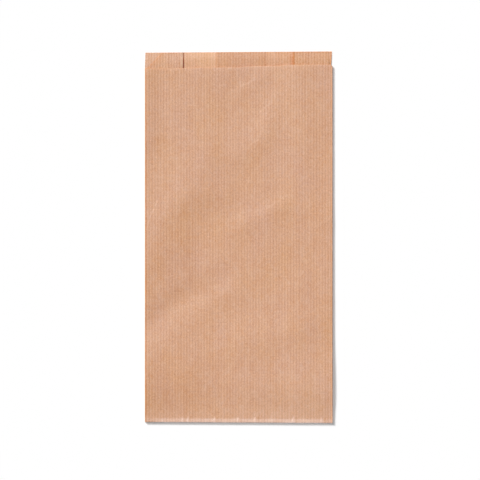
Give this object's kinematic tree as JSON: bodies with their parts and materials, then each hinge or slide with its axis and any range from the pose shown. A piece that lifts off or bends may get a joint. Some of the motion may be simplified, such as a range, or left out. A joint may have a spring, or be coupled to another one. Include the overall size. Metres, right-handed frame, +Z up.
{
  "type": "flat paper bag",
  "caption": "Flat, empty kraft paper bag lying on its back, with side gussets, a pasted lap down the back, a folded-under bottom and a mouth cut in a step.",
  "frame": {"origin": "middle of the bag's footprint, on the plane that its back lies on", "axes": "+X across the bag, +Y along it towards the mouth, +Z up, out of the front panel"},
  "size_m": [0.12, 0.2377, 0.003],
  "materials": {
    "kraft_paper": "unprinted ribbed kraft, smooth and dry, with a faint stripe every 1.84 mm along the bag"
  },
  "bodies": {
    "root": {"paper_bag": "kraft_paper"}
  },
  "joints": []
}
